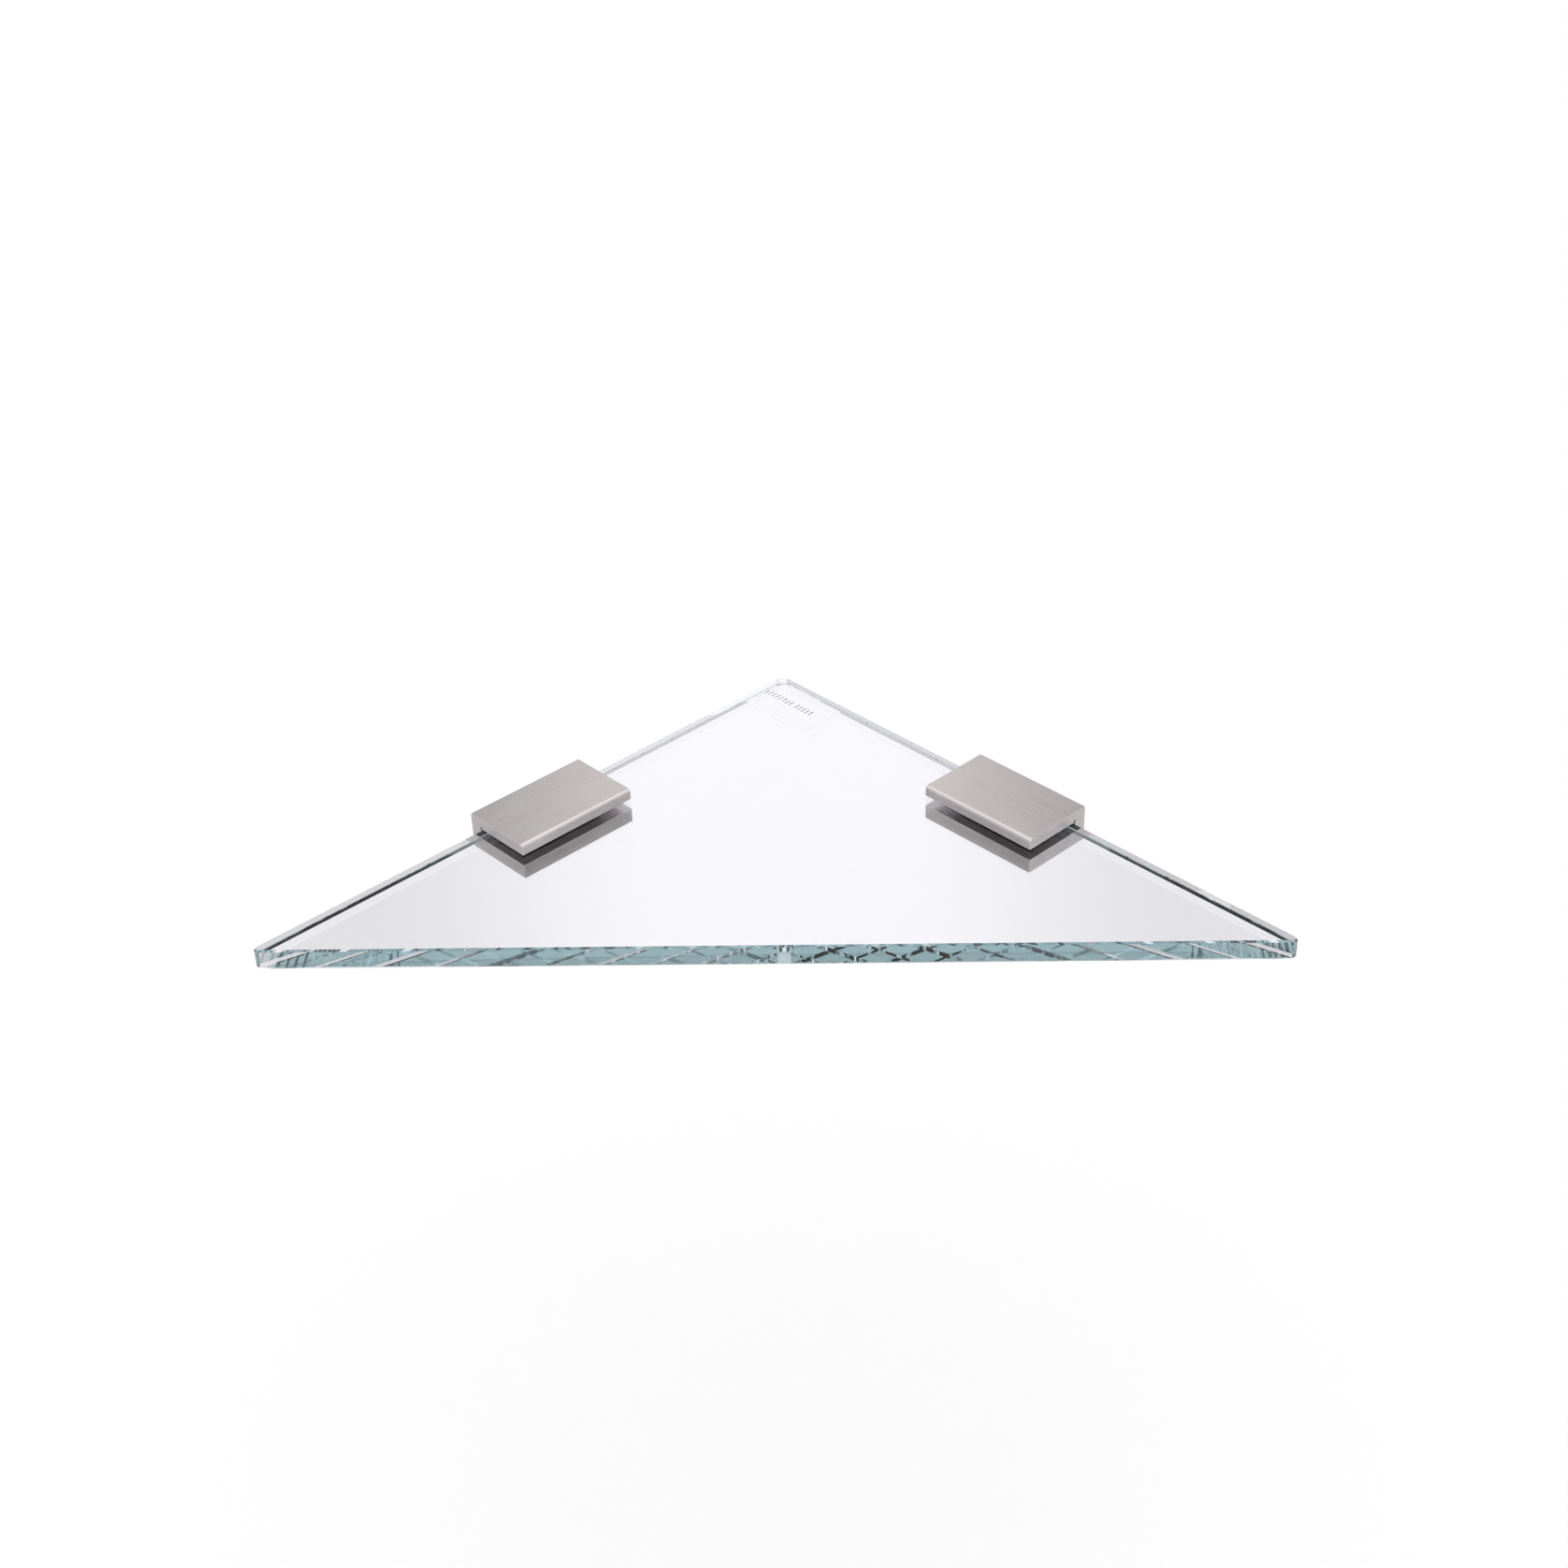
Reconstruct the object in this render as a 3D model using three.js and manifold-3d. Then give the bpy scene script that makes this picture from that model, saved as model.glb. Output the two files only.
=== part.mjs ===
// A triangular glass corner shelf held on its two walls by two slotted clamps.
//
// Frame, in millimetres: +X runs along the shelf's front edge, +Y points into the corner of the
// room and +Z is up. The origin is under the middle of the shelf, level with the clamps' undersides.

import * as THREE from 'three';
import { mergeVertices } from 'three/addons/utils/BufferGeometryUtils.js';
import Module from 'manifold-3d';

const wasm = await Module();
wasm.setup();

// ---------------------------------------------------------------- driving dimensions

// The shelf is a right-angled triangle. Its two equal legs lie along the walls.
const glass = {
  leg: 254,
  thickness: 8,
  cornerRadius: 4.5,
  tipRadius: 1.8,
  arris: 0.6,
};

// A clamp is a block with a slot for the glass. Its depth is measured out from the wall.
const clamp = {
  length: 51,
  depth: 30,
  upperJaw: 4.25,
  lowerJaw: 5.5,
  web: 5.2,
  noseRadius: 1.6,
  heelRadius: 0.8,
  reliefWidth: 0.8,
  reliefHeight: 0.9,
};

// A rubber pad lines the upper jaw, and stands out of its recess to meet the glass.
const upperPad = {
  endMargin: 9,
  frontMargin: 3.5,
  backMargin: 3,
  recessDepth: 0.8,
  standOut: 0.43,
};

// Round pads on the tips of the clamp screws press the glass up from below.
const pressurePad = {
  radius: 4.5,
  thickness: 1.4,
  standOut: 0.43,
  release: 0.8,
  floorGap: 0.03,
};

// Socket screws come up through the lower jaw.
const clampScrew = {
  radius: 2.5,
  spacing: 22,
  inset: 0.4,
  socketAcrossFlats: 2.5,
  socketDepth: 2,
};

// The wall plate is screwed to the wall, and the clamp hooks over its sloping top edge.
const wallPlate = {
  endMargin: 4.5,
  thickness: 2.5,
  bottom: 6,
  height: 9,
  undercut: 0.9,
  holeSpacing: 28,
  holeRadius: 1.9,
  countersinkRadius: 3.3,
  hookRoom: 1.4,
};

// A small socket screw under the wall plate locks the clamp down on it.
const lockScrew = {
  radius: 1.5,
  axisFromWall: 2.2,
  inset: 0.8,
  socketAcrossFlats: 1.5,
  socketDepth: 2,
};

// A clear film label lies near the corner, square to the right-hand wall.
const label = {
  length: 32,
  width: 21,
  thickness: 0.1,
  cornerRadius: 1,
  fromLeftEdge: 5,
  fromRightEdge: 4,
};

// Clearances
const edgeClearance = 0.35; // from the glass edge to the closed end of the slot
const fitClearance = 0.3; // around a piece that sits in a recess or a bore

// What the boolean tools reach past a face that they cut through
const overshoot = 1;

// Facets of a full circle, and of a rounded corner
const circleSegments = 40;
const cornerSegments = 8;

// ---------------------------------------------------------------- derived sizes and places

const slotHeight = pressurePad.standOut + glass.thickness + upperPad.standOut;
const slotTop = clamp.lowerJaw + slotHeight;
const clampHeight = slotTop + clamp.upperJaw;
const glassBottom = clamp.lowerJaw + pressurePad.standOut;
const glassTop = glassBottom + glass.thickness;
const wallGap = clamp.web + edgeClearance;

// The origin lies midway between the front edge and the rounded corner.
const halfSquare = Math.SQRT1_2;
const frontFromApex = glass.leg * halfSquare;
const roundingFromApex = glass.cornerRadius * (Math.SQRT2 - 1);
const apexY = (frontFromApex + roundingFromApex) / 2;
const frontY = apexY - frontFromApex;

const colours = {
  glass: { color: 0xd9ecec, roughness: 0.03, metalness: 0, transparent: true, opacity: 0.35 },
  brushedSteel: { color: 0xaca5a2, roughness: 0.35, metalness: 1 },
  plate: { color: 0x9a9a98, roughness: 0.5, metalness: 1 },
  screw: { color: 0x3a3a3c, roughness: 0.4, metalness: 1 },
  rubber: { color: 0x1c1c1b, roughness: 0.85, metalness: 0 },
  film: { color: 0xfcfcfc, roughness: 0.25, metalness: 0, transparent: true, opacity: 0.5 },
};

// ---------------------------------------------------------------- shared shapes

// A piece is a named mesh with a material of its own.
function piece(name, geometry, colour) {
  const mesh = new THREE.Mesh(geometry, new THREE.MeshStandardMaterial(colour));
  mesh.name = name;
  return mesh;
}

// Gives a three.js geometry as a manifold solid.
function solidOf(geometry) {
  const bare = geometry.clone();
  bare.deleteAttribute('normal');
  bare.deleteAttribute('uv');
  const merged = mergeVertices(bare);
  const vertProperties = new Float32Array(merged.attributes.position.array);
  const triVerts = new Uint32Array(merged.index.array);
  return new wasm.Manifold(new wasm.Mesh({ numProp: 3, vertProperties, triVerts }));
}

// Gives a manifold solid back as a three.js geometry.
function geometryOf(solid) {
  const mesh = solid.getMesh();
  const geometry = new THREE.BufferGeometry();
  geometry.setAttribute('position', new THREE.BufferAttribute(mesh.vertProperties, 3));
  geometry.setIndex(new THREE.BufferAttribute(mesh.triVerts, 1));
  geometry.computeVertexNormals();
  return geometry;
}

// Cuts every tool out of a body.
function cut(body, tools) {
  let solid = solidOf(body);
  for (const tool of tools) {
    solid = solid.subtract(solidOf(tool));
  }
  return geometryOf(solid);
}

// An outline whose corners are rounded. Each corner is [x, y, radius].
function roundedOutline(corners) {
  const shape = new THREE.Shape();
  corners.forEach(([x, y, radius], index) => {
    const corner = new THREE.Vector2(x, y);
    const before = new THREE.Vector2(...corners.at(index - 1));
    const after = new THREE.Vector2(...corners[(index + 1) % corners.length]);
    const toBefore = before.sub(corner).normalize();
    const toAfter = after.sub(corner).normalize();
    const halfAngle = Math.acos(toBefore.dot(toAfter)) / 2;
    const tangent = radius / Math.tan(halfAngle);
    const start = corner.clone().addScaledVector(toBefore, tangent);
    const end = corner.clone().addScaledVector(toAfter, tangent);
    if (index === 0) {
      shape.moveTo(start.x, start.y);
    } else {
      shape.lineTo(start.x, start.y);
    }
    if (radius > 0) {
      const toCentre = toBefore.clone().add(toAfter).normalize();
      const centre = corner.clone().addScaledVector(toCentre, radius / Math.sin(halfAngle));
      const startAngle = Math.atan2(start.y - centre.y, start.x - centre.x);
      const endAngle = Math.atan2(end.y - centre.y, end.x - centre.x);
      const clockwise = toBefore.cross(toAfter) > 0;
      shape.absarc(centre.x, centre.y, radius, startAngle, endAngle, clockwise);
    }
  });
  shape.closePath();
  return shape;
}

// Extrudes a level outline upwards from the given height.
function risenOutline(corners, bottom, height) {
  const options = { depth: height, bevelEnabled: false, curveSegments: cornerSegments };
  return new THREE.ExtrudeGeometry(roundedOutline(corners), options).translate(0, 0, bottom);
}

// Extrudes a section, drawn in Y and Z, along X. It is centred on X = 0.
function sectionAlongX(corners, length) {
  const geometry = risenOutline(corners, -length / 2, length);
  const along = new THREE.Vector3(1, 0, 0);
  const outwards = new THREE.Vector3(0, 1, 0);
  const up = new THREE.Vector3(0, 0, 1);
  return geometry.applyMatrix4(new THREE.Matrix4().makeBasis(outwards, up, along));
}

// A level rectangle's corners, each with the same radius
function rectangle(left, right, near, far, radius) {
  return [
    [left, near, radius],
    [right, near, radius],
    [right, far, radius],
    [left, far, radius],
  ];
}

// An upright cylinder between two heights
function uprightCylinder(radius, bottom, top, x, y) {
  const height = top - bottom;
  const geometry = new THREE.CylinderGeometry(radius, radius, height, circleSegments);
  return geometry.rotateX(Math.PI / 2).translate(x, y, bottom + height / 2);
}

// A hexagonal socket that opens downwards at the given height
function hexSocket(acrossFlats, depth, bottom, x, y) {
  const radius = acrossFlats / Math.sqrt(3);
  const height = depth + overshoot;
  const geometry = new THREE.CylinderGeometry(radius, radius, height, 6);
  return geometry.rotateX(Math.PI / 2).translate(x, y, bottom + depth - height / 2);
}

// A hexagon-socket set screw, with its socket in its lower end
function setScrew(name, screw, top, x, y) {
  const body = uprightCylinder(screw.radius, screw.inset, top, x, y);
  const socket = hexSocket(screw.socketAcrossFlats, screw.socketDepth, screw.inset, x, y);
  return piece(name, cut(body, [socket]), colours.screw);
}

// ---------------------------------------------------------------- glass and label

// The glass is one sheet with a fine chamfer all round.
function glassShelf() {
  const tipX = frontFromApex;
  const outline = roundedOutline([
    [0, apexY, glass.cornerRadius],
    [-tipX, frontY, glass.tipRadius],
    [tipX, frontY, glass.tipRadius],
  ]);
  const geometry = new THREE.ExtrudeGeometry(outline, {
    depth: glass.thickness - 2 * glass.arris,
    bevelThickness: glass.arris,
    bevelSize: glass.arris,
    bevelOffset: -glass.arris,
    bevelSegments: 1,
    curveSegments: cornerSegments,
  });
  const shelf = piece('glass_shelf', geometry, colours.glass);
  shelf.position.z = glassBottom + glass.arris;
  return shelf;
}

// The label's group lies at the glass's sharp corner, with its X along the right-hand edge.
function cornerLabel() {
  const left = label.fromLeftEdge;
  const far = -label.fromRightEdge;
  const near = far - label.width;
  const corners = rectangle(left, left + label.length, near, far, label.cornerRadius);
  const film = piece('film_label', risenOutline(corners, 0, label.thickness), colours.film);
  const group = new THREE.Group();
  group.add(film);
  group.position.set(0, apexY, glassTop);
  group.rotation.z = -Math.PI / 4;
  return group;
}

// ---------------------------------------------------------------- one clamp
// In a clamp's own frame X runs along the wall, +Y points into the wall, the wall's face is Y = 0
// and Z is the height above the underside.

const padLeft = upperPad.endMargin - clamp.length / 2;
const padNear = -clamp.depth + upperPad.frontMargin;
const padFar = -clamp.web - upperPad.backMargin;
const screwY = -(clamp.depth + clamp.web) / 2;
const screwTop = glassBottom - pressurePad.thickness;
const lockY = -lockScrew.axisFromWall;

// The wall plate's top edge rises away from the wall, so that the clamp hooks over it.
const plateLength = clamp.length - 2 * wallPlate.endMargin;
const plateSlope = wallPlate.undercut / wallPlate.thickness;
const plateWallTop = wallPlate.bottom + wallPlate.height - wallPlate.undercut;
const plateMiddle = (wallPlate.bottom + plateWallTop) / 2;

// A section like the wall plate's, from the height of its bottom edge to its sloping top edge.
// It starts a little way inside the wall, and its top is raised by the gap.
function plateSection(inside, bottom, thickness, gap) {
  const wallTop = plateWallTop + gap;
  return [
    [inside, bottom, 0],
    [inside, wallTop - inside * plateSlope, 0],
    [-thickness, wallTop + thickness * plateSlope, 0],
    [-thickness, bottom, 0],
  ];
}

function clampBody(side) {
  const profile = [
    [0, 0, clamp.heelRadius],
    [-clamp.depth, 0, 0],
    [-clamp.depth, clamp.lowerJaw, 0],
    [-clamp.web, clamp.lowerJaw, 0],
    [-clamp.web, slotTop + clamp.reliefHeight, 0],
    [-clamp.web - clamp.reliefWidth, slotTop + clamp.reliefHeight, 0],
    [-clamp.web - clamp.reliefWidth, slotTop, 0],
    [-clamp.depth, slotTop, 0],
    [-clamp.depth, clampHeight, clamp.noseRadius],
    [0, clampHeight, 0],
  ];

  // The pocket leaves room under the plate to lift the clamp on and off.
  const pocketBottom = wallPlate.bottom - wallPlate.hookRoom;
  const pocketDepth = wallPlate.thickness + fitClearance;
  const pocketSection = plateSection(overshoot, pocketBottom, pocketDepth, fitClearance);
  const pocket = sectionAlongX(pocketSection, plateLength + 2 * fitClearance);

  const recessCorners = rectangle(
    padLeft - fitClearance, -padLeft + fitClearance,
    padNear - fitClearance, padFar + fitClearance, 0);
  const recess = risenOutline(recessCorners, slotTop - overshoot, upperPad.recessDepth + overshoot);

  const lockBore = uprightCylinder(
    lockScrew.radius + fitClearance, -overshoot, wallPlate.bottom + fitClearance, 0, lockY);

  const tools = [pocket, recess, lockBore];
  const seatFloor = screwTop - pressurePad.release - pressurePad.floorGap;
  for (const x of [-clampScrew.spacing / 2, clampScrew.spacing / 2]) {
    const boreRadius = clampScrew.radius + fitClearance;
    const seatRadius = pressurePad.radius + fitClearance;
    tools.push(uprightCylinder(boreRadius, -overshoot, seatFloor + overshoot, x, screwY));
    tools.push(uprightCylinder(seatRadius, seatFloor, clamp.lowerJaw + overshoot, x, screwY));
  }
  const body = cut(sectionAlongX(profile, clamp.length), tools);
  return piece(`clamp_body_${side}`, body, colours.brushedSteel);
}

function wallPlateWithHoles(side) {
  const section = plateSection(0, wallPlate.bottom, wallPlate.thickness, 0);
  const plate = sectionAlongX(section, plateLength);
  const sinkDepth = wallPlate.countersinkRadius - wallPlate.holeRadius;
  const holeSection = [
    new THREE.Vector2(0, -overshoot),
    new THREE.Vector2(wallPlate.holeRadius, -overshoot),
    new THREE.Vector2(wallPlate.holeRadius, wallPlate.thickness - sinkDepth),
    new THREE.Vector2(wallPlate.countersinkRadius, wallPlate.thickness),
    new THREE.Vector2(wallPlate.countersinkRadius, wallPlate.thickness + overshoot),
    new THREE.Vector2(0, wallPlate.thickness + overshoot),
  ];
  const holes = [-wallPlate.holeSpacing / 2, wallPlate.holeSpacing / 2].map((x) => {
    const hole = new THREE.LatheGeometry(holeSection, circleSegments);
    return hole.rotateX(Math.PI).translate(x, 0, plateMiddle);
  });
  return piece(`wall_plate_${side}`, cut(plate, holes), colours.plate);
}

function upperJawPad(side) {
  const corners = rectangle(padLeft, -padLeft, padNear, padFar, 0);
  const pad = risenOutline(corners, glassTop, upperPad.standOut + upperPad.recessDepth);
  return piece(`upper_pad_${side}`, pad, colours.rubber);
}

// One clamp with everything in it. The inner screw is the one nearer to the corner of the room.
function clampAssembly(side, innerSign) {
  const group = new THREE.Group();
  group.add(clampBody(side));
  group.add(wallPlateWithHoles(side));
  group.add(upperJawPad(side));
  group.add(setScrew(`lock_screw_${side}`, lockScrew, wallPlate.bottom, 0, lockY));
  for (const [place, sign] of [['inner', innerSign], ['outer', -innerSign]]) {
    const x = sign * clampScrew.spacing / 2;
    const disc = uprightCylinder(pressurePad.radius, screwTop, glassBottom, x, screwY);
    group.add(setScrew(`clamp_screw_${side}_${place}`, clampScrew, screwTop, x, screwY));
    group.add(piece(`pressure_pad_${side}_${place}`, disc, colours.rubber));
  }
  return group;
}

// ---------------------------------------------------------------- the assembled shelf

const shelf = new THREE.Group();
shelf.add(glassShelf());
shelf.add(cornerLabel());

// Each clamp is centred on its leg of the glass, with its back on the wall.
for (const [side, sign] of [['left', -1], ['right', 1]]) {
  const assembly = clampAssembly(side, -sign);
  const alongLeg = glass.leg / 2;
  assembly.position.x = sign * (alongLeg + wallGap) * halfSquare;
  assembly.position.y = apexY - (alongLeg - wallGap) * halfSquare;
  assembly.rotation.z = -sign * Math.PI / 4;
  shelf.add(assembly);
}

export default shelf;
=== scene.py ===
import math

import bpy
from mathutils import Matrix, Vector


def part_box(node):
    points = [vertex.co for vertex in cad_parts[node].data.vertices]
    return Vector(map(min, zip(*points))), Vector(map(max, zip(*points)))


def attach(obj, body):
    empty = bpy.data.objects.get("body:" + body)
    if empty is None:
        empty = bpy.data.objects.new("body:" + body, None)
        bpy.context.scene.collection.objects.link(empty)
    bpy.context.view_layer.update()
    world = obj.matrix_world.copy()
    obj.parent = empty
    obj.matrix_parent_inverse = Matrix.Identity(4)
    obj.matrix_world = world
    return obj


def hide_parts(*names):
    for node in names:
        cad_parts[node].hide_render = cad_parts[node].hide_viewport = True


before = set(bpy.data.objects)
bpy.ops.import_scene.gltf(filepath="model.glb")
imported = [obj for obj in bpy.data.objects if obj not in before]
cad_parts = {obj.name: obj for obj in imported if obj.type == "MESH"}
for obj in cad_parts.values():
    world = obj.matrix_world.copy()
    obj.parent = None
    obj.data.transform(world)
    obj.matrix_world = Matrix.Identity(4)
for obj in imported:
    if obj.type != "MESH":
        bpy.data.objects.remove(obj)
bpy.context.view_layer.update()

MM = 0.001

# ------------------------------------------------------------------------------------------
# The studio: a wide pale floor well below the shelf, and a camera in front of the shelf that
# looks down on it into the corner.
# ------------------------------------------------------------------------------------------

floor_drop = 320 * MM
floor_side = 16000 * MM
floor_grey = 0.82


def deselect_objects():
    bpy.ops.object.select_all(action="DESELECT")


def add_level_sheet(name, centre_x, centre_y, height, width, depth):
    """A flat level rectangle, for the floor and for what lies on it."""
    deselect_objects()
    bpy.ops.mesh.primitive_plane_add(size=1, location=(centre_x, centre_y, height))
    sheet = bpy.context.object
    sheet.name = name
    sheet.scale = (width, depth, 1)
    return sheet


def start_material(name):
    """A new material, with its nodes, its links and its shader."""
    material = bpy.data.materials.new(name)
    material.use_nodes = True
    tree = material.node_tree
    return material, tree.nodes, tree.links, tree.nodes["Principled BSDF"]


def matt_grey(name, grey):
    """A dead matt grey with no shine."""
    paint, nodes, links, shader = start_material(name)
    shader.inputs["Base Color"].default_value = (grey, grey, grey, 1)
    shader.inputs["Roughness"].default_value = 0.95
    shader.inputs["Specular IOR Level"].default_value = 0.0
    return paint


studio_floor = add_level_sheet("studio_floor", 0, 0, -floor_drop, floor_side, floor_side)
studio_floor.data.materials.append(matt_grey("studio_floor_paint", floor_grey))

# Grey mats lie on the floor. The steel mirrors one pair, the upright edges of the glass
# mirror the next, and the lower chamfers show the three that lie under the shelf. Light that
# has only come straight through the glass, in at one face and out at the other, passes them by.
mat_thickness = 4 * MM
straight_through = 2.5
chamfer_light_length = 400 * MM
chamfer_light_spread = 45 * MM


def hide_unless_mirrored(paint, mirrored_in):
    """Lets a mat's paint show only in the part of the glass it is laid for."""
    nodes = paint.node_tree.nodes
    links = paint.node_tree.links
    light_path = nodes.new("ShaderNodeLightPath")
    is_mirrored = nodes.new("ShaderNodeMath")
    is_mirrored.operation = "GREATER_THAN"
    links.new(light_path.outputs["Ray Depth"], is_mirrored.inputs[0])
    is_mirrored.inputs[1].default_value = straight_through
    shown = is_mirrored.outputs[0]
    if mirrored_in == "chamfers":
        is_right_length = nodes.new("ShaderNodeMath")
        is_right_length.operation = "COMPARE"
        links.new(light_path.outputs["Ray Length"], is_right_length.inputs[0])
        is_right_length.inputs[1].default_value = chamfer_light_length
        is_right_length.inputs[2].default_value = chamfer_light_spread
        from_chamfer = nodes.new("ShaderNodeMath")
        from_chamfer.operation = "GREATER_THAN"
        links.new(is_right_length.outputs[0], from_chamfer.inputs[0])
        links.new(is_mirrored.outputs[0], from_chamfer.inputs[1])
        shown = from_chamfer.outputs[0]
    clear = nodes.new("ShaderNodeBsdfTransparent")
    either = nodes.new("ShaderNodeMixShader")
    links.new(shown, either.inputs["Fac"])
    links.new(clear.outputs[0], either.inputs[1])
    links.new(nodes["Principled BSDF"].outputs[0], either.inputs[2])
    links.new(either.outputs[0], nodes["Material Output"].inputs["Surface"])


# Each mat's grey, and the places of its four sides in millimetres
for mat_name, mirrored_in, grey, left_x, right_x, near_y, far_y in (
    ("right_steel_mat", "steel", 0.22, 240, 500, -340, 200),
    ("left_steel_mat", "steel", 0.34, -560, -240, -340, 200),
    ("right_edge_mat", "edges", 0.66, 240, 500, -340, 200),
    ("left_edge_mat", "edges", 0.56, -560, -240, -340, 200),
    ("near_dark_mat", "chamfers", 0.04, -300, 300, -150, 165),
    ("middle_dark_mat", "chamfers", 0.16, -300, 300, 165, 225),
    ("far_dark_mat", "chamfers", 0.50, -300, 300, 225, 290),
):
    lift = mat_thickness * (2 if mirrored_in == "steel" else 1)
    centre_x = (left_x + right_x) / 2 * MM
    centre_y = (near_y + far_y) / 2 * MM
    width = (right_x - left_x) * MM
    depth = (far_y - near_y) * MM
    mat = add_level_sheet(mat_name, centre_x, centre_y, lift - floor_drop, width, depth)
    cloth = matt_grey(mat_name + "_cloth", grey)
    if mirrored_in != "steel":
        hide_unless_mirrored(cloth, mirrored_in)
    mat.data.materials.append(cloth)
    mat.visible_camera = False
    mat.visible_diffuse = False
    mat.visible_shadow = False
    mat.visible_glossy = mirrored_in == "steel"
    mat.visible_transmission = mirrored_in != "steel"

# The camera's place is worked out from the point it looks at, its distance and its angles.
glass_low, glass_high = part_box("glass_shelf")
look_at_in_front_of_corner = 77.74 * MM
look_at = Vector((2.03 * MM, glass_high[1] - look_at_in_front_of_corner, 13.93 * MM))
camera_distance = 894.9 * MM
camera_azimuth = math.radians(2.18)
camera_elevation = math.radians(33.21)
camera_roll = math.radians(-1.88)
camera_sensor = 36
camera_lens = 55.07

towards_camera = Vector((
    math.sin(camera_azimuth) * math.cos(camera_elevation),
    -math.cos(camera_azimuth) * math.cos(camera_elevation),
    math.sin(camera_elevation),
))
level_right = Vector((math.cos(camera_azimuth), math.sin(camera_azimuth), 0))
level_up = towards_camera.cross(level_right)
turned_right = math.cos(camera_roll) * level_right + math.sin(camera_roll) * level_up
turned_up = math.cos(camera_roll) * level_up - math.sin(camera_roll) * level_right

camera_data = bpy.data.cameras.new("studio_camera")
camera_data.sensor_width = camera_sensor
camera_data.lens = camera_lens
camera_data.clip_start = 10 * MM
camera_data.clip_end = 100000 * MM
studio_camera = bpy.data.objects.new("studio_camera", camera_data)
bpy.context.scene.collection.objects.link(studio_camera)
camera_turn = Matrix((turned_right, turned_up, towards_camera)).transposed()
studio_camera.matrix_world = camera_turn.to_4x4()
studio_camera.matrix_world.translation = look_at + towards_camera * camera_distance
bpy.context.scene.camera = studio_camera
bpy.context.scene.view_settings.view_transform = "Standard"

# Light that enters the edge of the sheet is mirrored many times inside before it leaves.
mirrorings_in_glass = 48
bpy.context.scene.cycles.max_bounces = mirrorings_in_glass
bpy.context.scene.cycles.glossy_bounces = mirrorings_in_glass
bpy.context.scene.cycles.transmission_bounces = mirrorings_in_glass


# The room's light: soft all round, with a tall soft panel of light behind the corner and
# darker screens to both sides of it, which the glass and the metal mirror. Each pair of
# angles, in degrees, is where one strength begins to give way to the next and where it has.
panel_turned_left = 2.4
panel_to_screens = (3.0, 12.3)
panel_light = 1.5
screen_light = 0.03
screens_to_sides = (17, 34)
sides_light = 1.15
horizon_to_panel = (16, 24)
horizon_light = 0.85
panel_to_ceiling = (48, 62)
ceiling_light = 1.66


def studio_light():
    room = bpy.data.worlds.new("studio_light")
    room.use_nodes = True
    bpy.context.scene.world = room
    nodes = room.node_tree.nodes
    links = room.node_tree.links
    coordinates = nodes.new("ShaderNodeTexCoord")
    direction = nodes.new("ShaderNodeSeparateXYZ")
    links.new(coordinates.outputs["Generated"], direction.inputs[0])

    def math_node(kind, *values):
        node = nodes.new("ShaderNodeMath")
        node.operation = kind
        for socket, value in zip(node.inputs, values):
            if isinstance(value, (int, float)):
                socket.default_value = value
            else:
                links.new(value, socket)
        return node.outputs[0]

    def ramp(value, angles, at_low, at_high):
        node = nodes.new("ShaderNodeMapRange")
        node.interpolation_type = "SMOOTHSTEP"
        links.new(value, node.inputs["Value"])
        node.inputs["From Min"].default_value = angles[0]
        node.inputs["From Max"].default_value = angles[1]
        node.inputs["To Min"].default_value = at_low
        node.inputs["To Max"].default_value = at_high
        return node.outputs["Result"]

    x, y, z = direction.outputs
    turned = math_node("DEGREES", math_node("ARCTAN2", x, y))
    sideways = math_node("ABSOLUTE", math_node("ADD", turned, panel_turned_left))
    height = math_node("DEGREES", math_node("ARCSINE", z))
    panel = ramp(sideways, panel_to_screens, panel_light, screen_light)
    sides = ramp(sideways, screens_to_sides, 0, sides_light)
    all_round = math_node("ADD", panel, sides)
    above_horizon = ramp(height, horizon_to_panel, 0, 1)
    below_ceiling = ramp(height, panel_to_ceiling, 1, 0)
    in_between = math_node("MULTIPLY", above_horizon, below_ceiling)
    middle = math_node("MULTIPLY", all_round, in_between)
    horizon = ramp(height, horizon_to_panel, horizon_light, 0)
    ceiling = ramp(height, panel_to_ceiling, 0, ceiling_light)
    strength = math_node("ADD", math_node("ADD", middle, horizon), ceiling)
    background = nodes["Background"]
    background.inputs["Color"].default_value = (1, 1, 1, 1)
    links.new(strength, background.inputs["Strength"])


studio_light()

# ------------------------------------------------------------------------------------------
# The shelf: one sheet of clear float glass, cut to a right-angled triangle, with its three
# edges ground flat, their rims chamfered and polished, and its corners rounded.
# ------------------------------------------------------------------------------------------

corner_radius = 4.5 * MM
tip_radius = 1.8 * MM
polished_arris = 0.6 * MM
lower_arris = 1.0 * MM
corner_facets = 24

# The tips are cut at half a right angle, and this bevel profile makes such a tip round.
sharp_tip_angle = math.radians(45)
sharp_tip_profile = 0.409

# Points nearer than this are taken to be in the same place, and nearer still to be doubled.
same_place = 0.001 * MM
doubled = 0.0001 * MM

front_y = glass_low[1]
corner_y = glass_high[1] + corner_radius * (math.sqrt(2) - 1)
half_front = corner_y - front_y
glass_bottom = glass_low[2]
glass_top = glass_high[2]


def edit_select(piece, kind, wanted):
    """In edit mode, selects only the vertices, edges or faces that wanted() says yes to."""
    select_modes = {"vertices": "VERT", "edges": "EDGE", "polygons": "FACE"}
    bpy.ops.object.mode_set(mode="EDIT")
    bpy.ops.mesh.select_mode(type=select_modes[kind])
    bpy.ops.mesh.select_all(action="DESELECT")
    bpy.ops.object.mode_set(mode="OBJECT")
    for element in getattr(piece.data, kind):
        element.select = bool(wanted(element))
    bpy.ops.object.mode_set(mode="EDIT")


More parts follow.
